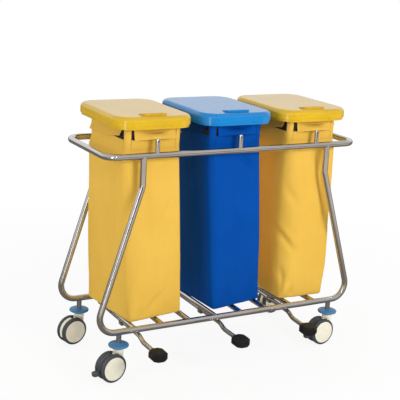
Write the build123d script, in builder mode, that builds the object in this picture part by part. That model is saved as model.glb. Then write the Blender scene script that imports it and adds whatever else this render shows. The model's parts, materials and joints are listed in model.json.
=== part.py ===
"""Linen hamper trolley: a bent-tube frame on four swivel casters, and three bags under pedal-opened lids.

Millimetres. The origin is on the floor, midway between the four caster stems.
+X runs along the trolley to the right, the front with the pedals faces -Y, and +Z is up.
"""
import os
from math import asin, cos, degrees, radians, sin

from build123d import *

os.makedirs("parts", exist_ok=True)

# Frame tubes
tube_d = 22.0
slat_d = 19.0
post_d = 16.0
rail_half_length = 495.0
rail_z = 773.0
rail_corner_r = 50.0
base_z = 169.0
foot_half_length = 528.0
foot_bend_r = 57.0
leg_half_span = 367.0
kink_z = 671.0
kink_r = 40.0

# Bag stations, each with one rim, bag, lid, pedal lever and push rod
station_names = ("left", "middle", "right")
station_pitch = 318.0
slats_per_station = 3
slat_count = 8
slat_offset = -60.0
slat_rise = 4.0

# Rims that hold the bags open, and the post arms that carry them
rim_width = 208.0
rim_depth = 290.0
rim_corner_r = 22.0
rim_wall = 5.0
rim_height = 46.0
rim_top_z = 858.0
post_arm_drop = 24.0
post_bend_r = 16.0
post_reach = 31.0

# Bags, each with its own bottom as it hangs
cloth = 2.0
bag_bottom_widths = (219.0, 224.0, 177.0)
bag_bottom_shifts = (40.0, 55.0, 14.0)
bag_bottom_inset = 1.0
bag_bottom_back = 8.0
bag_bottom_corner_r = 16.0
bag_corner_facets = 3
bag_shoulder_drop = 22.0
bag_bulge = 4.0
flap_drop = 40.0
flap_corner_margin = 32.0

# Lids
lid_side_gap = 32.0
lid_front_reach = 35.0
lid_rear_reach = 49.0
lid_bottom_z = 860.0
lid_height = 41.0
lid_wall = 3.0
lid_front_r = 65.0
lid_rear_r = 65.0
lid_edge_r = 16.0
lip_height = 8.0
lip_inset = 4.0
notch_width = 96.0
notch_height = 4.0
ridge_width = 90.0
ridge_depth = 52.0
ridge_height = 8.0
ridge_corner_r = 15.0
ridge_inset = 23.0

# Lid hinge, and the crank that the push rod lifts
hinge_reach = 29.0
hinge_z = 866.0
hinge_pin_d = 6.0
hinge_ear_r = 6.0
hinge_ear_root = 7.0
hinge_ear_thickness = 6.0
hinge_lug_thickness = 5.0
hinge_half_span = 80.0
lid_open_angle = 75.0
crank_r = 16.5
crank_pin_d = 4.0
crank_lug_r = 4.5
crank_lug_thickness = 4.5

# Pedal levers, their pads and brackets, and the push rods
lever_d = 16.0
lever_tube_gap = 1.5
lever_drop = 13.0
lever_drop_start = 8.0
lever_drop_run = 32.0
lever_bend_r = 60.0
lever_slat_gap = 2.0
lever_tail = 5.0
lever_swings = (-0.5, -0.5, -4.5)
pivot_y = -46.0
pivot_bolt_d = 6.0
pivot_hex = 10.0
pivot_head_height = 4.0
pivot_nut_height = 5.0
pad_width = 54.0
pad_length = 64.0
pad_height = 30.0
pad_corner = 14.5
pad_edge = 5.5
pad_cap = 9.0
pad_reach = 154.0
lever_pin_d = 5.0
pin_stub = 1.0
rod_d = 8.0
rod_side_gap = 1.0
rod_flat_thickness = 4.0
rod_flat_length = 26.0
rod_flat_overlap = 4.0
rod_slot_wall = 1.8
guide_r = 8.0
guide_height = 8.0
guide_rise = 0.5
bracket_sheet = 2.0
bracket_length = 22.0
bracket_side_gap = 0.6
bracket_floor_gap = 1.6

# Casters
caster_inset = 93.0
caster_trail = 30.0
caster_turns = (11.0, 5.0, 11.0, 8.0)
wheel_d = 100.0
wheel_width = 17.0
wheel_half_gap = 8.0
hub_d = 82.0
hub_recess = 1.0
hub_recess_d = 68.0
tyre_edge = 4.0
axle_d = 8.0
axle_cover = 4.0
stem_d = 18.0
swivel_pin_d = 8.0
swivel_pin_length = 30.0
collar_d = 26.0
collar_height = 3.0
bumper_d = 71.0
bumper_height = 16.0
bumper_rim_height = 9.0
bumper_z = 123.5
housing_width = 8.0
housing_r = 32.5
neck_d = 36.0
neck_wheel_gap = 1.0
boss_d = 14.0
fender_width = 14.0
fender_r = 47.0
fender_start = 95.0
fender_end = 205.0
brake_cheek = 2.5
brake_hub_r = 11.0
brake_hood_r = 48.0
brake_spoke_angle = 25.0
brake_ear_angle = 190.0
brake_ear_width = 26.0
brake_ear_length = 22.0
brake_ear_height = 10.0
brake_ear_corner_r = 10.0
brake_ear_gap = 2.0

# Clearances
weld_gap = 0.05
seat_gap = 0.3
running_gap = 0.05
slide_gap = 0.08

# Sizes that follow from the ones above
tube_r = tube_d / 2
slat_r = slat_d / 2
post_r = post_d / 2
lever_r = lever_d / 2
rod_r = rod_d / 2
rail_half_depth = rim_depth / 2 + post_reach
stations = [(i - 1) * station_pitch for i in range(len(station_names))]
slat_z = base_z + slat_rise
slat_xs = [stations[0] + slat_offset + i * station_pitch / slats_per_station for i in range(slat_count)]
rim_bottom_z = rim_top_z - rim_height
post_arm_z = rim_top_z - post_arm_drop
bag_floor_z = slat_z + slat_r + seat_gap
fold_z = rim_top_z + seat_gap
flap_bottom_z = rim_top_z - flap_drop
bag_bottom_depth = rim_depth - 2 * bag_bottom_inset
hinge_y = rim_depth / 2 + hinge_reach
lid_front_y = -rim_depth / 2 - lid_front_reach
lid_rear_y = rim_depth / 2 + lid_rear_reach
lid_top_z = lid_bottom_z + lid_height
lid_width = station_pitch - lid_side_gap
lid_mid_y = (lid_front_y + lid_rear_y) / 2
lid_depth = lid_rear_y - lid_front_y
lid_ceiling_z = lid_top_z - lid_wall
skirt_z = lid_bottom_z + lip_height
ledge_z = skirt_z + notch_height + lid_wall
ridge_front_y = lid_front_y + ridge_inset
lever_offset = slat_offset + slat_r + lever_slat_gap + lever_r
lever_z = base_z - tube_r - lever_tube_gap - lever_r
rod_offset = lever_offset + lever_r + rod_side_gap + rod_flat_thickness / 2
drop_y = -rail_half_depth - lever_drop_start
pad_y = -rail_half_depth - pad_reach
pad_z = lever_z - lever_drop
caster_half_span = foot_half_length - caster_inset
axle_z = wheel_d / 2
wheel_mid = wheel_half_gap + wheel_width / 2
axle_bore_end = wheel_half_gap + wheel_width - axle_cover
bumper_bottom_z = bumper_z - bumper_height / 2
collar_bottom_z = bumper_bottom_z - weld_gap - collar_height
housing_top_z = collar_bottom_z - seat_gap
brake_width = housing_width + 2 * (seat_gap + brake_cheek)

# The crank swings as far above the hinge as below it, and the rod stands where its pin is on average
crank_half_angle = radians(lid_open_angle / 2)
crank_rest_y = hinge_y - crank_r * cos(crank_half_angle)
crank_rest_z = hinge_z - crank_r * sin(crank_half_angle)
crank_sway = crank_r * (1 - cos(crank_half_angle))
crank_lag = crank_r * (sin(crank_half_angle / 2) - sin(crank_half_angle) / 2)
rod_y = crank_rest_y - crank_sway / 2
rod_travel = 2 * crank_r * sin(crank_half_angle)
lever_travel = asin(rod_travel / (rod_y - pivot_y))
lever_sway = (rod_y - pivot_y) * (1 - cos(lever_travel))
print(f"rod at y {rod_y:.3f}, travel {rod_travel:.4f} mm, lever travel {degrees(lever_travel):.4f} degrees")


def save(piece, name):
    """Label one finished piece and write it to its own file."""
    piece.label = name
    export_step(piece, f"parts/{name}.step")


# Top rail, one closed loop of tube whose two ends are the push handles
with BuildPart() as top_rail:
    with BuildLine(Plane.XY.offset(rail_z)) as rail_path:
        FilletPolyline(
            (-rail_half_length, -rail_half_depth),
            (rail_half_length, -rail_half_depth),
            (rail_half_length, rail_half_depth),
            (-rail_half_length, rail_half_depth),
            radius=rail_corner_r,
            close=True,
        )
    with BuildSketch(Plane(rail_path.line @ 0, z_dir=rail_path.line % 0)):
        Circle(tube_r)
    sweep()
save(top_rail.part, "top_rail")


def leg_frame(name, y):
    """One bent tube: down from the rail, out from the kink, round the foot bend and along the base."""
    with BuildPart() as frame:
        with BuildLine(Plane.XZ.offset(-y)) as path:
            FilletPolyline(
                (-leg_half_span, rail_z),
                (-leg_half_span, kink_z),
                (-foot_half_length, base_z),
                (foot_half_length, base_z),
                (leg_half_span, kink_z),
                (leg_half_span, rail_z),
                radius=[kink_r, foot_bend_r, foot_bend_r, kink_r],
            )
        with BuildSketch(Plane(path.line @ 0, z_dir=path.line % 0)):
            Circle(tube_r)
        sweep()
        # The tops are coped to sit against the underside of the rail
        with Locations((0, y, rail_z)):
            Cylinder(tube_r + weld_gap, 2 * rail_half_length, rotation=(0, 90, 0), mode=Mode.SUBTRACT)
    save(frame.part, name)


leg_frame("front_frame", -rail_half_depth)
leg_frame("rear_frame", rail_half_depth)

# Base slats, welded across between the two bottom tubes
with BuildPart() as base_slats:
    with Locations([(x, 0, slat_z) for x in slat_xs]):
        Cylinder(slat_r, 2 * rail_half_depth, rotation=(90, 0, 0))
    with Locations((0, -rail_half_depth, base_z), (0, rail_half_depth, base_z)):
        Cylinder(tube_r + weld_gap, 2 * foot_half_length, rotation=(0, 90, 0), mode=Mode.SUBTRACT)
save(base_slats.part, "base_slats")


def posts(name, side):
    """Three bent tubes that rise from the rail and turn inwards to carry the rims."""
    with BuildPart() as row:
        for x in stations:
            with BuildLine(Plane.YZ.offset(x)) as path:
                FilletPolyline(
                    (side * rail_half_depth, rail_z),
                    (side * rail_half_depth, post_arm_z),
                    (side * (rim_depth / 2 + weld_gap), post_arm_z),
                    radius=post_bend_r,
                )
            with BuildSketch(Plane(path.line @ 0, z_dir=path.line % 0)):
                Circle(post_r)
            sweep()
        with Locations((0, side * rail_half_depth, rail_z)):
            Cylinder(tube_r + weld_gap, 2 * rail_half_length, rotation=(0, 90, 0), mode=Mode.SUBTRACT)
    save(row.part, name)


posts("front_posts", -1)
posts("rear_posts", 1)


def bag_rim(name, x):
    """Moulded ring that holds a bag's mouth open, with two hinge ears behind."""
    ear_root_y = rim_depth / 2 - rim_wall / 2
    with BuildPart() as rim:
        with BuildSketch(Plane.XY.offset(rim_bottom_z)):
            with Locations((x, 0)):
                RectangleRounded(rim_width, rim_depth, rim_corner_r)
                RectangleRounded(
                    rim_width - 2 * rim_wall,
                    rim_depth - 2 * rim_wall,
                    rim_corner_r - rim_wall,
                    mode=Mode.SUBTRACT,
                )
        extrude(amount=rim_height)
        for side in (-1, 1):
            with BuildSketch(Plane.YZ.offset(x + side * hinge_half_span)):
                Polygon(
                    (ear_root_y, rim_top_z - hinge_ear_root),
                    (hinge_y, hinge_z - hinge_ear_r),
                    (hinge_y, hinge_z + hinge_ear_r),
                    (ear_root_y, rim_top_z),
                    align=None,
                )
                with Locations((hinge_y, hinge_z)):
                    Circle(hinge_ear_r)
                    Circle(hinge_pin_d / 2 + weld_gap, mode=Mode.SUBTRACT)
            extrude(amount=hinge_ear_thickness / 2, both=True)
    save(rim.part, f"{name}_rim")


def flap_outline(side, mouth_half, rim_half):
    """Section of one flap: over the rim's top edge and down its outside."""
    inner = side * (mouth_half - cloth)
    hang = side * (rim_half + seat_gap)
    outer = side * (rim_half + seat_gap + cloth)
    return (
        (inner, fold_z),
        (inner, fold_z + cloth),
        (outer, fold_z + cloth),
        (outer, flap_bottom_z),
        (hang, flap_bottom_z),
        (hang, fold_z),
    )


def bag_section(centre, back, width, depth, corner):
    """Outline of a bag at one height; faceted corners keep every wall between two heights flat."""
    points = []
    for start, x_side, y_side in ((180, -1, -1), (270, 1, -1), (0, 1, 1), (90, -1, 1)):
        for i in range(bag_corner_facets + 1):
            angle = radians(start + 90 * i / bag_corner_facets)
            across = centre + x_side * (width / 2 - corner) + corner * cos(angle)
            along = back + y_side * (depth / 2 - corner) + corner * sin(angle)
            points.append((across, along))
    return points


def bag(name, x, bottom_width, bottom_shift):
    """Hanging sack: its mouth inside the rim, flaps folded over the rim, its floor on the slats."""
    mouth_width = rim_width - 2 * rim_wall - 2 * seat_gap
    mouth_depth = rim_depth - 2 * rim_wall - 2 * seat_gap
    mouth_r = rim_corner_r - rim_wall - seat_gap
    shoulder_width = rim_width + 2 * bag_bulge
    shoulder_depth = rim_depth + 2 * bag_bulge
    # Height, centre in x and y, width, depth and corner radius of each outer section, from the floor up
    sections = (
        (bag_floor_z, x + bottom_shift, bag_bottom_back, bottom_width, bag_bottom_depth, bag_bottom_corner_r),
        (rim_bottom_z - bag_shoulder_drop, x, 0, shoulder_width, shoulder_depth, rim_corner_r),
        (rim_bottom_z - seat_gap, x, 0, mouth_width, mouth_depth, mouth_r),
        (fold_z + cloth, x, 0, mouth_width, mouth_depth, mouth_r),
    )
    slit_height = post_arm_z + post_r + cloth - flap_bottom_z
    with BuildPart() as sack:
        for z, centre, back, width, depth, corner in sections:
            with BuildSketch(Plane.XY.offset(z)):
                Polygon(*bag_section(centre, back, width, depth, corner), align=None)
        loft(ruled=True)
        for z, centre, back, width, depth, corner in sections:
            inside = bag_section(centre, back, width - 2 * cloth, depth - 2 * cloth, corner - cloth)
            with BuildSketch(Plane.XY.offset(max(z, bag_floor_z + cloth))):
                Polygon(*inside, align=None)
        loft(ruled=True, mode=Mode.SUBTRACT)
        for side in (-1, 1):
            with BuildSketch(Plane.YZ.offset(x)):
                Polygon(*flap_outline(side, mouth_depth / 2, rim_depth / 2), align=None)
            extrude(amount=rim_width / 2 - flap_corner_margin, both=True)
            with BuildSketch(Plane.XZ):
                with Locations((x, 0)):
                    Polygon(*flap_outline(side, mouth_width / 2, rim_width / 2), align=None)
            extrude(amount=rim_depth / 2 - flap_corner_margin, both=True)
            # A slit in the front and rear flaps lets the post arm through
            with Locations((x, side * (rim_depth / 2 + seat_gap + cloth / 2), flap_bottom_z)):
                Box(post_d + 2 * cloth, cloth + seat_gap, 2 * slit_height, mode=Mode.SUBTRACT)
    save(sack.part, f"{name}_bag")


def lid_outline(x, inset):
    """Plan of a lid, drawn in by an inset, with rounder corners in front."""
    with BuildSketch() as plan:
        with Locations((x, lid_mid_y)):
            Rectangle(lid_width - 2 * inset, lid_depth - 2 * inset)
        fillet(plan.vertices().group_by(Axis.Y)[0], lid_front_r - inset)
        fillet(plan.vertices().group_by(Axis.Y)[-1], lid_rear_r - inset)
    return plan.sketch


def lid(name, x):
    """Moulded cover: a domed skirt, a lip drawn in below it, a wedge ridge, hinge lugs and a crank."""
    lug_x = hinge_half_span + hinge_ear_thickness / 2 + seat_gap
    crank_x = x + rod_offset + rod_flat_thickness / 2 + seat_gap
    crank_pin_length = crank_lug_thickness + rod_flat_thickness + 3 * seat_gap

    with BuildPart() as hollow:
        with BuildSketch(Plane.XY.offset(lid_bottom_z)):
            add(lid_outline(x, lip_inset + lid_wall))
        extrude(amount=ledge_z - lid_bottom_z)
        with BuildSketch(Plane.XY.offset(ledge_z)):
            add(lid_outline(x, lid_wall))
        extrude(amount=lid_ceiling_z - ledge_z)
        chamfer(hollow.faces().sort_by(Axis.Z)[-1].edges(), lid_edge_r - lid_wall)

    with BuildPart() as ridge:
        with BuildSketch(Plane.XY.offset(lid_top_z - lid_wall / 2)):
            with Locations((x, ridge_front_y + ridge_depth / 2)):
                RectangleRounded(ridge_width, ridge_depth, ridge_corner_r)
        extrude(amount=lid_wall / 2 + ridge_height)
        ridge_slope = Vector(0, ridge_height, ridge_depth)
        ridge_face = Plane((x, ridge_front_y, lid_top_z + ridge_height), z_dir=ridge_slope)
        split(bisect_by=ridge_face, keep=Keep.BOTTOM)

    with BuildPart() as cover:
        with BuildSketch(Plane.XY.offset(skirt_z)):
            add(lid_outline(x, 0))
        extrude(amount=lid_top_z - skirt_z)
        fillet(cover.faces().sort_by(Axis.Z)[-1].edges(), lid_edge_r)
        with BuildSketch(Plane.XY.offset(lid_bottom_z)):
            add(lid_outline(x, lip_inset))
        extrude(amount=lip_height)
        add(hollow.part, mode=Mode.SUBTRACT)
        add(ridge.part)
        # Finger notch under the front of the skirt
        with Locations((x, lid_front_y, skirt_z)):
            Box(notch_width, 2 * lip_inset, 2 * notch_height, mode=Mode.SUBTRACT)
        # Hinge lugs, outside the rim's ears
        for side in (-1, 1):
            with BuildSketch(Plane.YZ.offset(x + side * (lug_x + hinge_lug_thickness / 2))):
                Polygon(
                    (hinge_y - hinge_ear_r, hinge_z),
                    (hinge_y + hinge_ear_r, hinge_z),
                    (hinge_y + hinge_ear_r, lid_ceiling_z + lid_wall / 2),
                    (hinge_y - hinge_ear_r, lid_ceiling_z + lid_wall / 2),
                    align=None,
                )
                with Locations((hinge_y, hinge_z)):
                    Circle(hinge_ear_r)
                    Circle(hinge_pin_d / 2 + running_gap, mode=Mode.SUBTRACT)
            extrude(amount=hinge_lug_thickness / 2, both=True)
        # Crank lug and its pin, beside the head of the push rod
        with BuildSketch(Plane.YZ.offset(crank_x)):
            Polygon(
                (crank_rest_y - crank_lug_r, crank_rest_z),
                (crank_rest_y + crank_lug_r, crank_rest_z),
                (hinge_y, lid_ceiling_z + lid_wall / 2),
                (hinge_y - 3 * crank_lug_r, lid_ceiling_z + lid_wall / 2),
                align=None,
            )
            with Locations((crank_rest_y, crank_rest_z)):
                Circle(crank_lug_r)
        extrude(amount=crank_lug_thickness)
        pin_mid_x = crank_x + crank_lug_thickness - crank_pin_length / 2
        with Locations((pin_mid_x, crank_rest_y, crank_rest_z)):
            Cylinder(crank_pin_d / 2, crank_pin_length, rotation=(0, 90, 0))
    save(cover.part, f"{name}_lid")


def lever_place(x, swing):
    """Place of a lever and what turns with it: its origin is under the rear pin."""
    return Location((x, rod_y, 0), (0, 0, swing))


def pedal_lever(name, place, swing):
    """Bent bar under the base: a pad end in front, a pivot bore, and a cross pin for the push rod behind."""
    bar_end_y = pad_y - pad_length / 2 + pad_cap
    pin_length = lever_r + rod_side_gap + rod_flat_thickness + pin_stub
    with BuildPart() as lever:
        with BuildLine(Plane.YZ) as path:
            FilletPolyline(
                (lever_tail, lever_z),
                (drop_y - rod_y, lever_z),
                (drop_y - lever_drop_run - rod_y, pad_z),
                (bar_end_y - rod_y, pad_z),
                radius=lever_bend_r,
            )
        with BuildSketch(Plane(path.line @ 0, z_dir=path.line % 0)):
            Circle(lever_r)
        sweep()
        # The rear pin lies along the trolley whatever the lever's swing, as the push rod's slot does
        with Locations(Location((0, 0, lever_z), (0, 0, -swing))):
            with Locations((pin_length / 2, lever_sway / 2, 0)):
                Cylinder(lever_pin_d / 2, pin_length, rotation=(0, 90, 0))
        with Locations((0, pivot_y - rod_y, lever_z)):
            Cylinder(pivot_bolt_d / 2 + running_gap, 2 * lever_d, rotation=(0, 90, 0), mode=Mode.SUBTRACT)
    save(place * lever.part, f"{name}_pedal_lever")


def pedal_pad(name, place):
    """Rubber foot pad, pushed over the front end of a lever."""
    bore_length = pad_length - pad_cap + weld_gap
    with BuildPart() as pad:
        with BuildSketch(Plane.XY.offset(pad_z)) as plan:
            with Locations((0, pad_y - rod_y)):
                Rectangle(pad_width, pad_length)
            chamfer(plan.vertices(), pad_corner)
        extrude(amount=pad_height / 2, both=True)
        stacked = pad.faces().sort_by(Axis.Z)
        chamfer(stacked[0].edges() + stacked[-1].edges(), pad_edge)
        with Locations((0, pad_y - rod_y + (pad_length - bore_length) / 2, pad_z)):
            Cylinder(lever_r + weld_gap, bore_length, rotation=(90, 0, 0), mode=Mode.SUBTRACT)
    save(place * pad.part, f"{name}_pedal_pad")


def push_rod(name, x):
    """Round rod with flattened, slotted ends: the foot round the lever's pin, the head round the crank's."""
    foot_slot = (lever_pin_d + lever_sway + 2 * seat_gap, lever_pin_d + 2 * seat_gap)
    head_slot = (crank_pin_d + crank_sway + 2 * seat_gap, crank_pin_d + 2 * (crank_lag + seat_gap))
    shank_low = lever_z + rod_flat_length - rod_flat_overlap
    shank_high = crank_rest_z - rod_flat_length + rod_flat_overlap
    with BuildPart() as rod:
        for slot_z, inward, (length, height) in ((lever_z, 1, foot_slot), (crank_rest_z, -1, head_slot)):
            edge = height / 2 + rod_slot_wall
            with BuildSketch(Plane.YZ.offset(x)):
                with Locations((rod_y, slot_z + inward * (rod_flat_length - edge) / 2)):
                    Rectangle(length + 2 * rod_slot_wall, rod_flat_length + edge)
                with Locations((rod_y, slot_z)):
                    SlotOverall(length, height, mode=Mode.SUBTRACT)
            extrude(amount=rod_flat_thickness / 2, both=True)
        with Locations((x, rod_y, (shank_low + shank_high) / 2)):
            Cylinder(rod_r, shank_high - shank_low)
    save(rod.part, f"{name}_push_rod")


lever_places = [lever_place(x + lever_offset, swing) for x, swing in zip(stations, lever_swings)]
for station, x, place, swing in zip(station_names, stations, lever_places, lever_swings):
    bag_rim(station, x)
    lid(station, x)
    pedal_lever(station, place, swing)
    pedal_pad(station, place)
    push_rod(station, x + rod_offset)
for station, x, width, shift in zip(station_names, stations, bag_bottom_widths, bag_bottom_shifts):
    bag(station, x, width, shift)

# Lid hinge pins, each from inside a rim ear out through a lid lug
hinge_pin_length = hinge_ear_thickness + seat_gap + hinge_lug_thickness
hinge_pin_offset = hinge_half_span + (hinge_pin_length - hinge_ear_thickness) / 2
with BuildPart() as hinge_pins:
    with Locations([(x + side * hinge_pin_offset, hinge_y, hinge_z) for x in stations for side in (-1, 1)]):
        Cylinder(hinge_pin_d / 2, hinge_pin_length, rotation=(0, 90, 0))
save(hinge_pins.part, "hinge_pins")

# Lever brackets, folded sheet round each lever, the left cheek welded to a slat
bracket_inner = lever_r + bracket_side_gap
bracket_outer = bracket_inner + bracket_sheet
bracket_floor_z = lever_z - lever_r - bracket_floor_gap
bracket_top_z = lever_z + pivot_hex
pivot_reach = pivot_y - rod_y
with BuildPart() as bracket:
    with BuildSketch(Plane.XZ.offset(-pivot_reach)):
        Polygon(
            (-bracket_outer, bracket_floor_z - bracket_sheet),
            (bracket_outer, bracket_floor_z - bracket_sheet),
            (bracket_outer, bracket_top_z),
            (bracket_inner, bracket_top_z),
            (bracket_inner, bracket_floor_z),
            (-bracket_inner, bracket_floor_z),
            (-bracket_inner, slat_z),
            (-bracket_outer, slat_z),
            align=None,
        )
    extrude(amount=bracket_length / 2, both=True)
    with Locations((0, pivot_reach, lever_z)):
        Cylinder(pivot_bolt_d / 2 + weld_gap, 3 * bracket_outer, rotation=(0, 90, 0), mode=Mode.SUBTRACT)
with BuildPart() as lever_brackets:
    for place in lever_places:
        add(place * bracket.part)
    with Locations([(x, 0, slat_z) for x in slat_xs]):
        Cylinder(slat_r + weld_gap, 2 * rail_half_depth, rotation=(90, 0, 0), mode=Mode.SUBTRACT)
save(lever_brackets.part, "lever_brackets")

# Pivot bolts, their heads on the left, and their nuts on the right
with BuildPart() as bolt:
    with BuildSketch(Plane.YZ.offset(-bracket_outer - weld_gap)):
        with Locations((pivot_reach, lever_z)):
            RegularPolygon(pivot_hex / 2, 6, major_radius=False)
    extrude(amount=-pivot_head_height)
    with BuildSketch(Plane.YZ.offset(-bracket_outer - weld_gap)):
        with Locations((pivot_reach, lever_z)):
            Circle(pivot_bolt_d / 2)
    extrude(amount=2 * bracket_outer + pivot_nut_height + pin_stub)
with BuildPart() as pivot_bolts:
    for place in lever_places:
        add(place * bolt.part)
save(pivot_bolts.part, "pivot_bolts")

with BuildPart() as nut:
    with BuildSketch(Plane.YZ.offset(bracket_outer + weld_gap)):
        with Locations((pivot_reach, lever_z)):
            RegularPolygon(pivot_hex / 2, 6, major_radius=False)
            Circle(pivot_bolt_d / 2 + weld_gap, mode=Mode.SUBTRACT)
    extrude(amount=pivot_nut_height)
with BuildPart() as pivot_nuts:
    for place in lever_places:
        add(place * nut.part)
save(pivot_nuts.part, "pivot_nuts")

# Rod guides, eyes welded to the inner side of the rear rail, just above the tops of the legs
with BuildPart() as rod_guides:
    for x in stations:
        with BuildSketch(Plane.XY.offset(rail_z + guide_rise)):
            with Locations((x + rod_offset, (rod_y + rail_half_depth) / 2)):
                Rectangle(2 * guide_r, rail_half_depth - rod_y)
            with Locations((x + rod_offset, rod_y)):
                Circle(guide_r)
                Circle(rod_r + slide_gap, mode=Mode.SUBTRACT)
        extrude(amount=guide_height)
    with Locations((0, rail_half_depth, rail_z)):
        Cylinder(tube_r + weld_gap, 2 * rail_half_length, rotation=(0, 90, 0), mode=Mode.SUBTRACT)
save(rod_guides.part, "rod_guides")

# Casters: name, stem position, and whether it has a brake; each is drawn trailing to -X and then turned
casters = (
    ("front_left", -caster_half_span, -rail_half_depth, True),
    ("front_right", caster_half_span, -rail_half_depth, True),
    ("rear_left", -caster_half_span, rail_half_depth, False),
    ("rear_right", caster_half_span, rail_half_depth, False),
)
on_base = (Align.CENTER, Align.CENTER, Align.MIN)
below = (Align.CENTER, Align.CENTER, Align.MAX)

# Caster stems, welded under the bottom tubes, each with a collar and a pin for the swivel
with BuildPart() as caster_stems:
    with Locations([(x, y, collar_bottom_z) for name, x, y, braked in casters]):
        Cylinder(stem_d / 2, base_z - collar_bottom_z, align=on_base)
        Cylinder(collar_d / 2, collar_height, align=on_base)
        Cylinder(swivel_pin_d / 2, swivel_pin_length, align=below)
    with Locations((0, -rail_half_depth, base_z), (0, rail_half_depth, base_z)):
        Cylinder(tube_r + weld_gap, 2 * foot_half_length, rotation=(0, 90, 0), mode=Mode.SUBTRACT)
save(caster_stems.part, "caster_stems")

# Lens-shaped bumper rings on the stems
with BuildPart() as bumper_rings:
    for name, x, y, braked in casters:
        with BuildSketch(Plane.XZ.offset(-y)):
            with BuildLine():
                bore_x = x + stem_d / 2 + weld_gap
                rim_x = x + bumper_d / 2
                edge_x = rim_x - bumper_rim_height / 2
                Polyline(
                    (edge_x, bumper_z - bumper_rim_height / 2),
                    (bore_x, bumper_bottom_z),
                    (bore_x, bumper_bottom_z + bumper_height),
                    (edge_x, bumper_z + bumper_rim_height / 2),
                )
                ThreePointArc(
                    (edge_x, bumper_z + bumper_rim_height / 2),
                    (rim_x, bumper_z),
                    (edge_x, bumper_z - bumper_rim_height / 2),
                )
            make_face()
        revolve(axis=Axis((x, y, 0), (0, 0, 1)))
save(bumper_rings.part, "bumper_rings")


def caster(name, place, braked):
    """Swivelling housing and axle of one caster; without a brake it has a fender between its wheels."""
    neck_r = neck_d / 2
    with BuildPart() as housing:
        with BuildSketch(Plane.XZ):
            Polygon(
                (-neck_r, housing_top_z),
                (neck_r, housing_top_z),
                (neck_r, axle_z),
                (-caster_trail, axle_z),
                align=None,
            )
            with Locations((-caster_trail, axle_z)):
                Circle(housing_r)
        extrude(amount=housing_width / 2, both=True)
        if not braked:
            with BuildSketch(Plane.XZ):
                with BuildLine():
                    centre = (-caster_trail, axle_z)
                    arc = CenterArc(centre, fender_r, fender_start, fender_end - fender_start)
                    Polyline(arc @ 1, centre, arc @ 0)
                make_face()
            extrude(amount=fender_width / 2, both=True)
        with Locations((0, 0, housing_top_z)):
            Cylinder(neck_r, housing_top_z - wheel_d - neck_wheel_gap, align=below)
            Cylinder(boss_d / 2, swivel_pin_length, align=below)
            Cylinder(
                swivel_pin_d / 2 + running_gap,
                swivel_pin_length,
                align=below,
                mode=Mode.SUBTRACT,
            )
        with Locations((-caster_trail, 0, axle_z)):
            Cylinder(axle_d / 2 + weld_gap, 2 * fender_width, rotation=(90, 0, 0), mode=Mode.SUBTRACT)
    save(place * housing.part, f"{name}_caster_housing")

    with BuildPart() as axle:
        with Locations((-caster_trail, 0, axle_z)):
            Cylinder(axle_d / 2, 2 * (axle_bore_end - seat_gap), rotation=(90, 0, 0))
    save(place * axle.part, f"{name}_axle")


def wheel(name, place, number, side):
    """One wheel: a hub with a shallow dish outside and a blind bore inside, and a tyre round it."""
    face_y = side * (wheel_half_gap + wheel_width)
    mid_y = side * wheel_mid
    with BuildPart() as hub:
        with Locations((-caster_trail, mid_y, axle_z)):
            Cylinder(hub_d / 2, wheel_width, rotation=(90, 0, 0))
        with Locations((-caster_trail, face_y, axle_z)):
            Cylinder(hub_recess_d / 2, 2 * hub_recess, rotation=(90, 0, 0), mode=Mode.SUBTRACT)
        with Locations((-caster_trail, 0, axle_z)):
            Cylinder(axle_d / 2 + running_gap, 2 * axle_bore_end, rotation=(90, 0, 0), mode=Mode.SUBTRACT)
    save(place * hub.part, f"{name}_hub_{number}")

    with BuildPart() as tyre:
        with Locations((-caster_trail, mid_y, axle_z)):
            Cylinder(wheel_d / 2, wheel_width, rotation=(90, 0, 0))
            Cylinder(hub_d / 2 + weld_gap, wheel_width, rotation=(90, 0, 0), mode=Mode.SUBTRACT)
        circles = tyre.edges().filter_by(GeomType.CIRCLE).group_by(SortBy.RADIUS)
        chamfer(circles[-1], tyre_edge)
    save(place * tyre.part, f"{name}_tyre_{number}")


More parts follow.
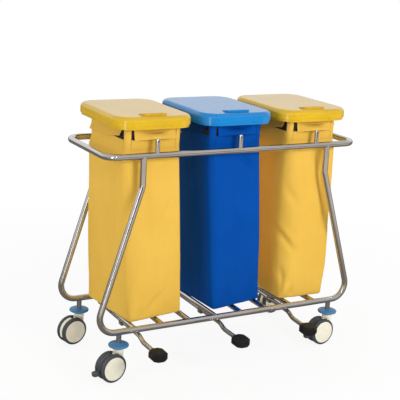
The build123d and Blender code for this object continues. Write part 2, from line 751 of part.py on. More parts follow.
def brake_pedal(name, place):
    """Yoke that rocks on the axle: two cheeks, a hood over the housing, and an ear to step on."""
    inner_r = housing_r + seat_gap
    centre = (-caster_trail, axle_z)
    middle = (fender_start + fender_end) / 2
    angle = radians(brake_ear_angle)
    outward = Vector(cos(angle), 0, sin(angle))
    upright = Vector(-sin(angle), 0, cos(angle))
    ear_start = wheel_d / 2 + brake_ear_gap
    root_start = (inner_r + brake_hood_r) / 2
    root_length = ear_start + brake_ear_corner_r - root_start
    with BuildPart() as brake:
        with BuildSketch(Plane.XZ):
            with BuildLine():
                outer = CenterArc(centre, brake_hood_r, fender_start, fender_end - fender_start)
                inner = CenterArc(centre, inner_r, fender_start, fender_end - fender_start)
                Line(outer @ 0, inner @ 0)
                Line(outer @ 1, inner @ 1)
            make_face()
        extrude(amount=brake_width / 2, both=True)
        for side in (-1, 1):
            cheek_y = side * (brake_width - brake_cheek) / 2
            with BuildSketch(Plane.XZ.offset(-cheek_y)):
                with BuildLine():
                    arc = CenterArc(centre, root_start, middle - brake_spoke_angle, 2 * brake_spoke_angle)
                    Polyline(arc @ 1, centre, arc @ 0)
                make_face()
                with Locations(centre):
                    Circle(brake_hub_r)
                    Circle(axle_d / 2 + running_gap, mode=Mode.SUBTRACT)
            extrude(amount=brake_cheek / 2, both=True)
        axle_point = Vector(-caster_trail, 0, axle_z)
        root_middle = axle_point + outward * (root_start + root_length / 2)
        with BuildSketch(Plane(root_middle, x_dir=outward, z_dir=upright)):
            Rectangle(root_length, brake_width)
        extrude(amount=brake_ear_height / 2, both=True)
        ear_middle = axle_point + outward * (ear_start + brake_ear_length / 2)
        with BuildSketch(Plane(ear_middle, x_dir=outward, z_dir=upright)):
            RectangleRounded(brake_ear_length, brake_ear_width, brake_ear_corner_r)
        extrude(amount=brake_ear_height / 2, both=True)
    save(place * brake.part, f"{name}_brake_pedal")


for (caster_name, x, y, braked), turn in zip(casters, caster_turns):
    place = Location((x, y, 0), (0, 0, turn))
    caster(caster_name, place, braked)
    wheel(caster_name, place, 1, -1)
    wheel(caster_name, place, 2, 1)
    if braked:
        brake_pedal(caster_name, place)
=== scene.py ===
"""Looks for the linen hamper trolley: cloth bags, finishes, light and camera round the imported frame."""
import json
from math import atan2, cos, exp, pi, radians, sin

import bpy
from mathutils import Matrix, Vector, noise


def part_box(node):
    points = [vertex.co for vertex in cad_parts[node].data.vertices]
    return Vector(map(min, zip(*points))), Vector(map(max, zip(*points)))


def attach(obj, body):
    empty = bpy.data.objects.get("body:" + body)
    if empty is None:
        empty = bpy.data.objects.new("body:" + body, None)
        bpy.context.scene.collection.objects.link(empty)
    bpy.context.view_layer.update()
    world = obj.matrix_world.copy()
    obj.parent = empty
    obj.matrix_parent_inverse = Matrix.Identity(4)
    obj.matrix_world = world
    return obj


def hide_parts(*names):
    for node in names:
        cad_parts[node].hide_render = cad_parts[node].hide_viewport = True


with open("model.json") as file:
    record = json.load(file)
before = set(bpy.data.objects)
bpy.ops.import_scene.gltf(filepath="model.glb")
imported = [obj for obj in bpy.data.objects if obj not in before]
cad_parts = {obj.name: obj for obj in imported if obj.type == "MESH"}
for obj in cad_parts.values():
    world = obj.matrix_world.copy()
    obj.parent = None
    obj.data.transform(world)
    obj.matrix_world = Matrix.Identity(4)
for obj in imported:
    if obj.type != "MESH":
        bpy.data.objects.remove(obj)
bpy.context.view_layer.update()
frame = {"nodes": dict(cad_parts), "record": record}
nodes = frame["nodes"]
scene = bpy.context.scene

# Bag stations: name, colour of cloth and lid, width of the slot beside the front flap's left end,
# how soft the front left edge is, how far the left and right sides belly out, low down and high up
stations = (
    ("left", "yellow", 0.009, 0.034, ((0.0, 0.0115), (0.0, 0.0))),
    ("middle", "blue", 0.006, 0.034, ((0.0, 0.0), (0.0, 0.0))),
    ("right", "yellow", 0.014, 0.075, ((0.0, 0.0), (0.0105, 0.009))),
)

# Bottom corners of the bags from the rim's middle: front left, front right, rear right, rear left
bottoms = {
    "left": ((-0.065, -0.149), (0.149, -0.115), (0.140, 0.146), (-0.096, 0.146)),
    "middle": ((-0.053, -0.147), (0.167, -0.105), (0.160, 0.146), (-0.070, 0.146)),
    "right": ((-0.080, -0.137), (0.104, -0.144), (0.100, 0.146), (-0.082, 0.146)),
}

# Bag cloth over its rim
cloth = 0.0012
cloth_gap = 0.0014
rim_wall = 0.005
rim_height = 0.046
rim_corner = 0.022
slot_turn = 0.30
closed_slot = 0.002
collar_rise = 0.010
collar_fall = 0.024
collar_gap = 0.0008
collar_rows = 9
inner_gap = 0.001
tuck_start = 0.004
tuck_run = 0.024
skin_lift = 0.0004
shoulder_drop = 0.022
bottom_corner = 0.010
bottom_turn = 0.005
seam_height = 0.0012
billow = 0.0035
ripple = 0.0018
front_flap_drop = 0.038
side_flap_drop = 0.045
raised_flap_drop = 0.024
flap_flare = 0.004
flap_curl = 0.007
tent_run = 0.060
strip_overlap = 0.045
hem_share = 0.78
stitch_length = 0.0034
stitch_pitch = 0.0052
stitch_radius = 0.0005

# Post elbow that pushes the front and rear flaps out
post_radius = 0.008
post_bend = 0.016
post_arm_drop = 0.024
elbow_cloth = 0.0016

# Slats, and how far the bottoms of the bags sag between them
slat_pitch = 0.106
slat_radius = 0.0095
slat_sag = 0.0018

# How finely the cloth is drawn
sack_rows = 65
flap_rows = 23


def mix(a, b, t):
    return a + (b - a) * t


def smooth(t):
    t = min(1.0, max(0.0, t))
    return t * t * (3 - 2 * t)


def mesh_piece(name, points, faces, uvs=None):
    """A smooth mesh object from points and faces, with a UV per face corner where given."""
    mesh = bpy.data.meshes.new(name)
    mesh.from_pydata(points, [], faces)
    mesh.polygons.foreach_set("use_smooth", [True] * len(faces))
    if uvs:
        layer = mesh.uv_layers.new(name="cloth")
        flat = [value for face in uvs for uv in face for value in uv]
        layer.data.foreach_set("uv", flat)
    mesh.update()
    piece = bpy.data.objects.new(name, mesh)
    scene.collection.objects.link(piece)
    return piece


class Finish:
    """A procedural material built up from nodes on one principled shader."""

    def __init__(self, name, **constants):
        self.material = bpy.data.materials.new(name)
        self.material.use_nodes = True
        self.tree = self.material.node_tree
        self.shader = self.tree.nodes["Principled BSDF"]
        for socket, value in constants.items():
            self.shader.inputs[socket.replace("_", " ")].default_value = value

    def add(self, kind, settings=None, **inputs):
        made = self.tree.nodes.new("ShaderNode" + kind)
        for key, value in (settings or {}).items():
            setattr(made, key, value)
        for socket, value in inputs.items():
            target = made.inputs[socket.replace("_", " ")]
            if isinstance(value, bpy.types.NodeSocket):
                self.tree.links.new(value, target)
            else:
                target.default_value = value
        return made

    def link(self, output, socket):
        self.tree.links.new(output, self.shader.inputs[socket])

    def coordinates(self, kind="Object", stretch=(1, 1, 1)):
        source = self.add("TexCoord").outputs[kind]
        return self.add("Mapping", Vector=source, Scale=stretch).outputs["Vector"]

    def noise(self, vector, scale, detail=3.0, roughness=0.55):
        made = self.add("TexNoise", Vector=vector, Scale=scale, Detail=detail, Roughness=roughness)
        return made.outputs["Fac"]

    def ramp(self, fac, stops):
        made = self.add("ValToRGB", Fac=fac)
        elements = made.color_ramp.elements
        while len(elements) < len(stops):
            elements.new(0.5)
        for element, (place, colour) in zip(elements, stops):
            element.position = place
            element.color = (*colour, 1)
        return made.outputs["Color"]

    def span(self, value, low, high):
        made = self.add("MapRange", Value=value, To_Min=low, To_Max=high)
        return made.outputs["Result"]

    def bump(self, height, distance, strength=1.0, normal=None):
        made = self.add("Bump", Height=height, Distance=distance, Strength=strength)
        if normal is not None:
            self.tree.links.new(normal, made.inputs["Normal"])
        return made.outputs["Normal"]


def shade(colour, factor):
    return tuple(channel * factor for channel in colour)


def steel(name, colour, rough_low, rough_high, scratch):
    """Polished stainless tube: fine drawn lines, faint stains and handling marks."""
    finish = Finish(name, Metallic=1.0)
    place = finish.coordinates()
    stains = finish.noise(place, 9.0, 5.0)
    finish.link(finish.ramp(stains, ((0.3, shade(colour, 0.86)), (0.7, colour))), "Base Color")
    marks = finish.noise(place, 55.0, 6.0, 0.7)
    finish.link(finish.span(marks, rough_low, rough_high), "Roughness")
    lines = finish.noise(finish.coordinates(stretch=(1, 1, 0.06)), scratch, 2.0)
    finish.link(finish.bump(lines, 0.0002, 0.25), "Normal")
    return finish.material


def plastic(name, colour, rough_low, rough_high, grain, coat=0.0):
    """Moulded plastic: faint flow clouds in the colour, fine grain and rubbed patches."""
    finish = Finish(name, IOR=1.5, Coat_Weight=coat, Coat_Roughness=0.04)
    place = finish.coordinates()
    clouds = finish.noise(place, 7.0, 4.0)
    stops = ((0.3, shade(colour, 0.93)), (0.7, shade(colour, 1.04)))
    finish.link(finish.ramp(clouds, stops), "Base Color")
    rubbed = finish.noise(place, 24.0, 5.0, 0.65)
    finish.link(finish.span(rubbed, rough_low, rough_high), "Roughness")
    fine = finish.noise(place, grain, 2.0)
    finish.link(finish.bump(fine, 0.00015, 0.3), "Normal")
    return finish.material


def rubber(name, colour, grain, gloss=0.5):
    """Matt rubber with a dusty bloom and a pebbled skin."""
    finish = Finish(name, IOR=1.45, Specular_IOR_Level=gloss)
    place = finish.coordinates()
    bloom = finish.noise(place, 18.0, 6.0, 0.65)
    finish.link(finish.ramp(bloom, ((0.35, colour), (0.75, shade(colour, 1.6)))), "Base Color")
    finish.link(finish.span(bloom, 0.42, 0.62), "Roughness")
    pebbles = finish.add("TexVoronoi", Vector=place, Scale=grain).outputs["Distance"]
    finish.link(finish.bump(pebbles, 0.0003, 0.3), "Normal")
    return finish.material


def woven(name, colour, deep):
    """Oxford cloth: a plain weave of crossed threads, slubs, and soft wear in the colour."""
    finish = Finish(name, IOR=1.45, Specular_IOR_Level=0.06)
    flat = finish.coordinates("UV")
    wear = finish.noise(finish.coordinates(), 6.0, 5.0)
    finish.link(finish.ramp(wear, ((0.3, deep), (0.7, colour))), "Base Color")
    threads = []
    for direction in ("X", "Y"):
        wave = finish.add(
            "TexWave",
            {"bands_direction": direction},
            Vector=flat,
            Scale=190.0,
            Distortion=0.6,
            Detail=1.0,
        )
        threads.append(wave.outputs["Fac"])
    weave = finish.add("Math", {"operation": "MULTIPLY"})
    finish.tree.links.new(threads[0], weave.inputs[0])
    finish.tree.links.new(threads[1], weave.inputs[1])
    slubs = finish.noise(flat, 160.0, 3.0)
    finish.link(finish.span(slubs, 0.60, 0.78), "Roughness")
    rumple = finish.noise(finish.coordinates(), 38.0, 4.0)
    creased = finish.bump(rumple, 0.0012, 0.25)
    finish.link(finish.bump(weave.outputs["Value"], 0.0003, 0.25, creased), "Normal")
    return finish.material


finishes = {
    "stainless_tube": steel("stainless_tube", (0.64, 0.61, 0.57), 0.06, 0.14, 420.0),
    "steel_hardware": steel("steel_hardware", (0.50, 0.49, 0.48), 0.28, 0.46, 300.0),
    "bumper_blue": plastic("bumper_blue", (0.050, 0.200, 0.410), 0.34, 0.50, 900.0),
    "rim_black": plastic("rim_black", (0.012, 0.012, 0.013), 0.40, 0.60, 700.0),
    "yellow_plastic": plastic("yellow_plastic", (0.68, 0.42, 0.010), 0.11, 0.19, 500.0, coat=0.12),
    "blue_plastic": plastic("blue_plastic", (0.001, 0.215, 0.57), 0.11, 0.19, 500.0, coat=0.12),
    "pad_rubber": rubber("pad_rubber", (0.010, 0.010, 0.010), 380.0, gloss=0.2),
    "caster_cream": plastic("caster_cream", (0.86, 0.82, 0.67), 0.36, 0.50, 900.0),
    "tyre_grey": rubber("tyre_grey", (0.045, 0.050, 0.056), 500.0),
    "brake_grey": plastic("brake_grey", (0.060, 0.062, 0.068), 0.34, 0.52, 700.0),
    "yellow_cloth": woven("yellow_cloth", (0.79, 0.49, 0.084), (0.75, 0.45, 0.068)),
    "blue_cloth": woven("blue_cloth", (0.001, 0.073, 0.37), (0.001, 0.064, 0.33)),
    "yellow_thread": plastic("yellow_thread", (0.70, 0.40, 0.060), 0.6, 0.8, 2000.0),
    "blue_thread": plastic("blue_thread", (0.006, 0.060, 0.32), 0.6, 0.8, 2000.0),
}

for part in frame["record"]["subparts"]:
    mesh = nodes[part["node"]].data
    mesh.materials.clear()
    mesh.materials.append(finishes[part["material_slot"]])


def rim_columns(half_x, half_y, slot):
    """Columns of cloth round a rim: each a place on a side or corner, and its flap or strip."""
    columns = []
    slots = {0: (slot, closed_slot), 2: (slot, slot)}
    for side, half, count in ((0, half_x, 26), (1, half_y, 34), (2, half_x, 26), (3, half_y, 34)):
        before, after = (gap / (half - rim_corner) for gap in slots.get(side, (0.0, 0.0)))
        places = [mix(before - 1, 1 - after, i / count) for i in range(count + 1)]
        columns += [("side", side, place, f"flap_{side}") for place in places]
        # The corner's strip keeps to the front or rear, with a slot on each side of it
        low, high = (0.0, 1 - slot_turn) if side % 2 == 0 else (slot_turn, 1.0)
        for i in range(9):
            columns.append(("corner", side, mix(low, high, i / 8), f"strip_{side}"))
    return columns


def outline(column, half_x, half_y, corners):
    """Point and outward direction of one column on a rectangle with four rounded corners."""
    kind, side, value, _ = column
    along, across = (half_x, half_y) if side % 2 == 0 else (half_y, half_x)
    before, after = corners[side - 1], corners[side]
    if kind == "side":
        point = Vector((mix(before - along, along - after, (value + 1) / 2), -across, 0))
        normal = Vector((0, -1, 0))
    else:
        angle = (value - 1) * pi / 2
        normal = Vector((cos(angle), sin(angle), 0))
        point = Vector((along - after, after - across, 0)) + normal * after
    spin = Matrix.Rotation(side * pi / 2, 3, "Z")
    return spin @ point, spin @ normal


class Bag:
    """One hanging bag: where its cloth lies, from the floor up through the rim and out over its flaps."""

    def __init__(self, name, slot, softness, bellies, creases):
        low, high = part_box(f"{name}_rim")
        self.name = name
        self.x = (low.x + high.x) / 2
        self.half_x = (high.x - low.x) / 2
        self.half_y = -low.y
        self.rim_bottom = low.z
        self.rim_top = low.z + rim_height
        self.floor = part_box(f"{name}_bag")[0].z + cloth / 2
        self.shoulder = self.rim_bottom - shoulder_drop
        self.softness = softness
        self.bellies = bellies
        self.bottom = [Vector(corner) for corner in bottoms[name]]
        edge = self.bottom[1] - self.bottom[0]
        self.twist = atan2(edge.y, edge.x)
        self.columns = rim_columns(self.half_x, self.half_y, slot)
        self.creases = [
            ([self.on_side(*place) for place in line], width, depth)
            for line, width, depth in creases
        ]

    def rise(self, z):
        return (z - self.floor) / (self.shoulder - self.floor)

    def plain(self, column, z):
        """The sack's surface without creases, from the rim down to the bottom on the slats."""
        t = self.rise(z)
        belly = sin(pi * min(1, max(0, t))) ** 0.7
        corner = mix(bottom_corner, rim_corner, smooth(t * 1.3 - 0.3))
        corners = (corner, corner, corner, corner + self.softness * belly)
        point, normal = outline(column, self.half_x, self.half_y, corners)
        u = (point.x / self.half_x + 1) / 2
        v = (point.y / self.half_y + 1) / 2
        front = self.bottom[0].lerp(self.bottom[1], u)
        rear = self.bottom[3].lerp(self.bottom[2], u)
        stood = front.lerp(rear, v)
        full = smooth(min(t / 0.22, (1 - t) / 0.06))
        left, right = (mix(*belly, t) for belly in self.bellies)
        side = mix(-left, right, u) * full
        place = Vector((self.x + mix(stood.x, point.x, t) + side, mix(stood.y, point.y, t), z))
        return place, Matrix.Rotation(self.twist * (1 - t), 3, "Z") @ normal

    def on_side(self, side, value, z):
        """A point on one side of the sack, from -1 at its left end to 1 at its right end.

        Below -1 it runs on round the left corner, to -2 at the corner's far end.
        """
        column = ("side", side, value, "")
        if value < -1:
            column = ("corner", (side - 1) % 4, value + 2, "")
        return self.plain(column, z)[0]

    def body(self, column, z):
        """The sack's surface with its creases, soft folds, slight billow and corner seams."""
        point, normal = self.plain(column, z)
        t = self.rise(z)
        held = smooth(min(t, 1 - t) / 0.12)
        push = billow * noise.noise(Vector((point.x * 9, point.y * 9, z * 3.2)))
        push += ripple * noise.noise(Vector((point.x * 30, point.y * 30, z * 5)))
        push *= mix(0.25, 1, held)
        for line, width, depth in self.creases:
            gap, share = near_line(point, line)
            push -= depth * exp(-(gap / width) ** 2) * mix(0.35, 1, sin(pi * share))
        kind, side, value, _ = column
        if kind == "corner" and side != 3 and t < 1:
            push += seam_height * exp(-((value - 0.5) / 0.12) ** 2)
        return point + normal * push

    def rim_point(self, column, reach, z):
        """A point beside the rim, that far outside its outer face."""
        point, normal = outline(column, self.half_x, self.half_y, [rim_corner] * 4)
        return Vector((self.x + point.x, point.y, z)) + normal * reach

    def tucked(self, column, reach, z):
        """A point beside the rim, drawn in onto the sack's skin from the rim's lower edge down."""
        skin = self.body(column, z) + self.plain(column, z)[1] * skin_lift
        share = smooth((self.rim_bottom + tuck_start - z) / tuck_run)
        return self.rim_point(column, reach, z).lerp(skin, share)

    def hang(self, column, t):
        """Distance out from the rim and height of the cloth, t of the way down a flap or strip."""
        kind, side, value, _ = column
        top = self.rim_top
        if kind == "corner":
            return cloth_gap, top - t * (rim_height + strip_overlap)
        curl = flap_curl * smooth((abs(value) - 0.72) / 0.28) * t * t
        reach = cloth_gap + flap_flare * t ** 1.6 + curl
        if side % 2 == 1:
            front = max(0.0, value if side == 3 else -value)
            return reach, top - mix(side_flap_drop, raised_flap_drop, front) * t
        # Over the post's elbow, and from there like a tent to the ends of the flap
        offset = abs(value) * (self.half_x - rim_corner)
        lift = min(1, max(0, 1 - (offset - post_radius) / tent_run))
        bend_y = post_bend - 0.001
        bend_z = top - post_arm_drop - post_bend
        radius = post_bend + post_radius + elbow_cloth
        path = [
            (cloth_gap, top),
            (cloth_gap, top - 0.006),
            (0.0045, top - 0.0115),
            (0.009, bend_z + radius),
        ]
        path += [
            (bend_y + radius * cos(radians(a)), bend_z + radius * sin(radians(a)))
            for a in range(90, 20, -8)
        ]
        place = t * (len(path) - 1)
        index = min(int(place), len(path) - 2)
        over = [mix(a, b, place - index) for a, b in zip(path[index], path[index + 1])]
        return mix(reach, over[0], lift), mix(top - front_flap_drop * t, over[1], lift)

    def outside(self, column, t):
        """A point of the cloth outside the rim; the corner strips run on into the sack below."""
        reach, z = self.hang(column, t)
        if column[0] == "side":
            return self.rim_point(column, reach, z)
        return self.tucked(column, reach, z)

    def collar(self, side):
        """Rows of the cloth turned up round the rim's lower edge behind one flap."""
        turn = [slot_turn * i / 4 for i in range(5)] if side % 2 == 1 else [0.0]
        flap = [column for column in self.columns if column[3] == f"flap_{side}"]
        before = [("corner", (side - 1) % 4, 1 - value, "") for value in reversed(turn)]
        after = [("corner", side, value, "") for value in turn]
        for i in range(collar_rows):
            z = self.rim_bottom + mix(collar_rise, -collar_fall, i / (collar_rows - 1))
            yield [self.tucked(column, collar_gap, z) for column in before + flap + after]

    def rows(self):
        """Rows of points from the middle of the floor up the sack, through the mouth and down outside."""
        low_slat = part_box("base_slats")[0].x + slat_radius
        middle = sum(self.bottom, Vector((0, 0))) / 4
        centre = Vector((self.x + middle.x, middle.y, self.floor))
        for share in (0.12, 0.32, 0.52, 0.72, 0.88, 0.97):
            row = []
            for column in self.columns:
                point = centre.lerp(self.plain(column, self.floor)[0], share)
                sag = 1 - cos(2 * pi * (point.x - low_slat) / slat_pitch)
                point.z -= slat_sag * sag * smooth((1 - share) * 8)
                row.append(point)
            yield row
        start = self.floor + bottom_turn
        for i in range(sack_rows):
            z = start + (self.shoulder - start) * i / (sack_rows - 1)
            yield [self.body(column, z) for column in self.columns]
        inside = -rim_wall - inner_gap
        for z, reach in ((self.rim_bottom - 0.010, -0.002), (self.rim_bottom, inside)):
            yield [self.rim_point(column, reach, z) for column in self.columns]
        for z in (self.rim_bottom + 0.015, self.rim_bottom + 0.030, self.rim_top - 0.002):
            yield [self.rim_point(column, inside, z) for column in self.columns]
        yield [self.rim_point(column, -rim_wall / 2, self.rim_top + 0.0012) for column in self.columns]
        for i in range(flap_rows):
            yield [self.outside(column, i / (flap_rows - 1)) for column in self.columns]

    def piece(self):
        """The whole bag as one cloth mesh, with open slots at the corners of its flaps."""
        rows = list(self.rows())
        count = len(self.columns)
        points = [point for row in rows for point in row]
        ring = [self.rim_point(column, 0, 0) for column in self.columns]
        lengths = [0.0]
        for i in range(count):
            lengths.append(lengths[-1] + (ring[(i + 1) % count] - ring[i]).length)
        heights = [0.0]
        for low, high in zip(rows, rows[1:]):
            heights.append(heights[-1] + (high[count // 8] - low[count // 8]).length)
        fold = len(rows) - flap_rows - 1
        faces, uvs = [tuple(range(count - 1, -1, -1))], [[(0, 0)] * count]
        for r in range(len(rows) - 1):
            for c in range(count):
                after = (c + 1) % count
                if r > fold and self.columns[c][3] != self.columns[after][3]:
                    continue
                below, above = r * count, (r + 1) * count
                faces.append((below + c, below + after, above + after, above + c))
                left, right = lengths[c], lengths[c + 1]
                low, high = heights[r], heights[r + 1]
                uvs.append([(left, low), (right, low), (right, high), (left, high)])
        for side in range(4):
            collar = list(self.collar(side))
            wide = len(collar[0])
            first = len(points)
            points += [point for row in collar for point in row]
            for r in range(collar_rows - 1):
                for c in range(wide - 1):
                    corners = [(r, c), (r + 1, c), (r + 1, c + 1), (r, c + 1)]
                    faces.append(tuple(first + row * wide + column for row, column in corners))
                    uvs.append([(column * 0.008, row * 0.004) for row, column in corners])
        piece = mesh_piece(f"{self.name}_cloth_bag", points, faces, uvs)
        thick = piece.modifiers.new("thickness", "SOLIDIFY")
        thick.thickness = cloth
        thick.offset = 0
        piece.modifiers.new("smoothing", "SUBSURF").render_levels = 1
        return piece

    def stitching(self):
        """Rows of stitches along the flaps' hems and up the three seamed corners, as one mesh."""
        lines = []
        for side in range(4):
            flap = [column for column in self.columns if column[3] == f"flap_{side}"]
            lines.append([self.outside(column, hem_share) for column in flap])
        for side in range(3):
            seam = ("corner", side, 0.5, "")
            heights = [mix(self.floor + 0.010, self.shoulder, i / 60) for i in range(61)]
            lines.append([self.body(seam, z) for z in heights])
        centre = Vector((self.x, 0, 0))
        sides = ((0, 2, 4), (2, 1, 4), (1, 3, 4), (3, 0, 4))
        points, faces = [], []
        for line in lines:
            for start, end in stitch_ends(line):
                along = (end - start).normalized()
                out = start - centre
                out.z = 0
                out = (out - along * out.dot(along)).normalized()
                across = along.cross(out) * stitch_radius
                lift = out * (cloth / 2 + stitch_radius / 2)
                first = len(points)
                middle = (start + end) / 2 + lift
                points += [start, end, middle + across, middle - across, middle + out * stitch_radius]
                faces += [tuple(first + i for i in face) for face in sides]
        return mesh_piece(f"{self.name}_bag_stitching", points, faces)


def near_line(point, line):
    """Distance from a point to a bent line, and how far along the line its nearest place is."""
    best = (1e9, 0.0)
    for i, (start, end) in enumerate(zip(line, line[1:])):
        run = end - start
        share = min(1, max(0, (point - start).dot(run) / run.length_squared))
        gap = (point - start - run * share).length
        best = min(best, (gap, (i + share) / (len(line) - 1)))
    return best


def stitch_ends(line):
    """Start and end of each stitch along a line of points."""
    place = 0.0
    for start, end in zip(line, line[1:]):
        length = (end - start).length
        while place + stitch_length <= length:
            yield start.lerp(end, place / length), start.lerp(end, (place + stitch_length) / length)
            place += stitch_pitch
        place = max(0.0, place - length)


# Creases: a line of (side, place along it from -1 to 1, or to -2 round its left corner, height),
# with the crease's width and depth; a depth below zero is a ridge
bag_creases = {
    "left": [
        (((0, -0.55, 0.760), (0, -0.50, 0.480)), 0.018, 0.007),
        (((0, 0.25, 0.270), (0, -0.35, 0.215)), 0.012, 0.009),
        (((0, -0.64, 0.225), (0, -0.66, 0.186)), 0.008, 0.006),
        (((0, 0.50, 0.225), (0, 0.62, 0.186)), 0.008, 0.006),
        (((0, 0.90, 0.610), (0, 0.35, 0.555)), 0.012, 0.008),
        (((3, 0.50, 0.700), (3, 0.25, 0.300)), 0.030, 0.007),
    ],
    "middle": [
        (((0, 0.10, 0.752), (0, 0.55, 0.722), (0, 0.80, 0.700)), 0.009, 0.012),
        (((0, -0.45, 0.560), (0, 0.30, 0.420)), 0.020, 0.010),
        (((0, -0.65, 0.270), (0, -0.35, 0.200)), 0.012, 0.007),
        (((3, 0.55, 0.700), (3, 0.60, 0.300)), 0.030, 0.006),
    ],
    "right": [
        (
            ((0, 0.12, 0.785), (0, 0.32, 0.681), (0, 0.47, 0.615), (0, 0.69, 0.556), (0, 0.86, 0.458)),
            0.015,
            0.014,
        ),
        (((0, -1.50, 0.610), (0, -1.35, 0.575), (0, -1.15, 0.540)), 0.012, 0.008),
        (((0, -1.70, 0.470), (0, -1.40, 0.430), (0, -1.10, 0.390)), 0.010, -0.006),
        (((0, -1.70, 0.440), (0, -1.45, 0.405), (0, -1.15, 0.368)), 0.011, 0.010),
        (((0, -1.60, 0.300), (0, -1.40, 0.240)), 0.012, 0.009),
        (((0, -1.30, 0.250), (0, -1.05, 0.200)), 0.010, -0.007),
        (((0, -0.70, 0.222), (0, -0.62, 0.190)), 0.008, 0.008),
    ],
}

# Soft folds down the right sides and the backs, the same on every bag
shared_creases = [
    (((1, -0.45, 0.740), (1, -0.20, 0.360)), 0.032, 0.008),
    (((1, 0.55, 0.620), (1, 0.35, 0.240)), 0.030, 0.007),
    (((1, 0.10, 0.780), (1, 0.30, 0.640)), 0.018, 0.005),
    (((2, 0.35, 0.760), (2, 0.10, 0.400)), 0.030, 0.008),
    (((2, -0.55, 0.520), (2, -0.30, 0.250)), 0.026, 0.006),
    (((2, -0.20, 0.770), (2, -0.45, 0.640)), 0.016, 0.005),
]

for name, colour, slot, softness, bellies in stations:
    bag = Bag(name, slot, softness, bellies, bag_creases[name] + shared_creases)
    for piece, look in ((bag.piece(), f"{colour}_cloth"), (bag.stitching(), f"{colour}_thread")):
        piece.data.materials.append(finishes[look])
        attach(piece, "chassis")
    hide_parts(f"{name}_bag")

# Camera where the photograph was taken from, fitted to the tubes, posts, bumper rings and lids
camera_place = Vector((-1.760, -2.999, 1.459))
camera_yaw = 0.5189
camera_pitch = 0.2561
camera_roll = 0.0539
focal_pixels = 986.8
image_pixels = 400.0
level = cos(camera_pitch)
forward = Vector((sin(camera_yaw) * level, cos(camera_yaw) * level, -sin(camera_pitch)))
right = Vector((cos(camera_yaw), -sin(camera_yaw), 0))
up = right.cross(forward)
tilted_right = right * cos(camera_roll) + up * sin(camera_roll)
tilted_up = up * cos(camera_roll) - right * sin(camera_roll)
camera = bpy.data.objects.new("camera", bpy.data.cameras.new("camera"))
camera.data.sensor_width = 36.0
camera.data.lens = focal_pixels / image_pixels * camera.data.sensor_width
turn = Matrix((tilted_right, tilted_up, -forward)).transposed().to_4x4()
camera.matrix_world = Matrix.Translation(camera_place) @ turn
scene.collection.objects.link(camera)
scene.camera = camera


def area_light(name, place, target, size, energy, mirrored=True):
    """A rectangular lamp that the camera doesn't see, facing a target; reflections may show it."""
    light = bpy.data.objects.new(name, bpy.data.lights.new(name, "AREA"))
    light.data.shape = "RECTANGLE"
    light.data.size, light.data.size_y = size
    light.data.energy = energy
    light.location = place
    light.rotation_mode = "QUATERNION"
    light.rotation_quaternion = (Vector(target) - Vector(place)).to_track_quat("-Z", "Y")
    light.visible_camera = False
    light.visible_glossy = mirrored
    scene.collection.objects.link(light)
    return light


area_light("key", (1.0, -3.5, 2.0), (0, 0, 0.5), (1.2, 1.2), 74.0, mirrored=False)
area_light("fill", (-3.2, -0.9, 1.5), (0, 0, 0.5), (1.2, 1.2), 19.0, mirrored=False)
area_light("sparkle", (-1.5, -3.4, 2.4), (0, 0, 0.5), (0.3, 0.3), 10.0)
# Tall strip that only shows as a bright line in the steel and on the lids' edges
strip = area_light("strip", (-2.6, -2.35, 1.3), (0, 0, 1.3), (0.5, 2.2), 14.0)
strip.visible_diffuse = False
# Warm bounce on the right bag's left side, deep in the gap beside the middle bag
bounce_place = (0.172, -0.02, 0.50)
bounce = area_light("bounce", bounce_place, (0.25, -0.03, 0.50), (0.14, 0.55), 0.12, mirrored=False)
bounce.data.color = (1.0, 0.50, 0.12)


class Room:
    """Adds nodes to the node tree of the room's walls or floor."""

    def __init__(self, tree):
        self.tree = tree

    def add(self, kind, operation=None, **inputs):
        made = self.tree.nodes.new("ShaderNode" + kind)
        if operation:
            made.operation = operation
        for socket, value in inputs.items():
            key = int(socket[1:]) if socket[1:].isdigit() else socket.replace("_", " ")
            if isinstance(value, bpy.types.NodeSocket):
                self.tree.links.new(value, made.inputs[key])
            else:
                made.inputs[key].default_value = value
        return made.outputs

    def math(self, operation, a, b):
        return self.add("Math", operation, _0=a, _1=b)["Value"]

    def slope(self, value, start, end, low, high):
        """A value that goes from low to high while another goes from start to end."""
        limits = {"From_Min": start, "From_Max": end, "To_Min": low, "To_Max": high}
        return self.add("MapRange", Value=value, **limits)["Result"]


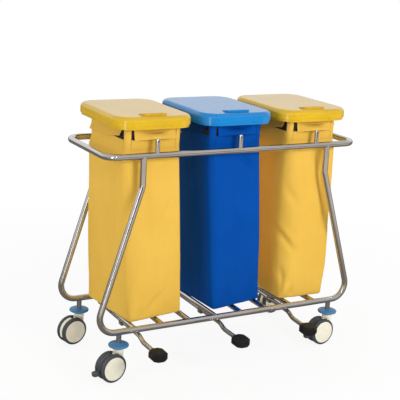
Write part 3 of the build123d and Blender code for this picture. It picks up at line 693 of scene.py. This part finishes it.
# White room: full white to the camera, and as light brighter behind the part than in front of it;
# in reflections its rear wall is bright, its front and ceiling are dim and its lowest part is dark
world = bpy.data.worlds.new("studio")
world.use_nodes = True
scene.world = world
walls = Room(world.node_tree)
rays = walls.add("LightPath")
direction = walls.add("TexCoord")["Generated"]
height = walls.add("SeparateXYZ", Vector=direction)["Z"]
behind = walls.add("SeparateXYZ", Vector=direction)["Y"]
low_wall = walls.slope(height, 0.03, 0.14, 0.10, 1.0)
ceiling = walls.slope(height, 0.45, 0.65, 1.0, 0.65)
front = walls.slope(behind, -0.1, 0.3, 0.70, 1.0)
upper = walls.math("MINIMUM", ceiling, front)
mirrored = walls.math("MULTIPLY", low_wall, upper)
ambient = walls.slope(behind, -0.2, 0.5, 0.46, 1.05)
shaded = walls.add("Mix", Factor=rays["Is Glossy Ray"], A=ambient, B=mirrored)["Result"]
seen = walls.math("MAXIMUM", rays["Is Camera Ray"], rays["Is Transmission Ray"])
shown = walls.add("Mix", Factor=seen, A=shaded, B=1.0)["Result"]
background = world.node_tree.nodes["Background"]
background.inputs["Color"].default_value = (1, 1, 1, 1)
world.node_tree.links.new(shown, background.inputs["Strength"])

# Floor: it glows white to the camera, less so near the part, where its soft shadow shows;
# in reflections it is pale close in front of the part, dimmer further off and dim behind it
bpy.ops.mesh.primitive_plane_add(size=60)
floor = bpy.context.object
floor.name = "floor"
material = bpy.data.materials.new("floor_white")
material.use_nodes = True
shader = material.node_tree.nodes["Principled BSDF"]
shader.inputs["Base Color"].default_value = (0.92, 0.92, 0.92, 1)
shader.inputs["Roughness"].default_value = 0.9
ground = Room(material.node_tree)
rays = ground.add("LightPath")
place = ground.add("TexCoord")["Object"]
distance = ground.add("VectorMath", "LENGTH", _0=place)["Value"]
clear = ground.slope(distance, 0.8, 2.2, 0.88, 1.0)
ahead = ground.add("SeparateXYZ", Vector=place)["Y"]
pale = ground.slope(ahead, -1.6, -0.5, 0.75, 0.22)
far = ground.slope(ahead, -4.3, -3.9, 0.25, 1.0)
mirrored = ground.math("MULTIPLY", pale, far)
glow = ground.add("Emission")["Emission"]
sheen = ground.add("Emission", Color=(1.0, 0.93, 0.86, 1), Strength=mirrored)["Emission"]
to_camera = ground.math("MULTIPLY", rays["Is Camera Ray"], clear)
lit = ground.add("MixShader", _0=rays["Is Glossy Ray"], _1=shader.outputs["BSDF"], _2=sheen)["Shader"]
whole = ground.add("MixShader", _0=to_camera, _1=lit, _2=glow)["Shader"]
material.node_tree.links.new(whole, material.node_tree.nodes["Material Output"].inputs["Surface"])
floor.data.materials.append(material)

scene.view_settings.view_transform = "Standard"
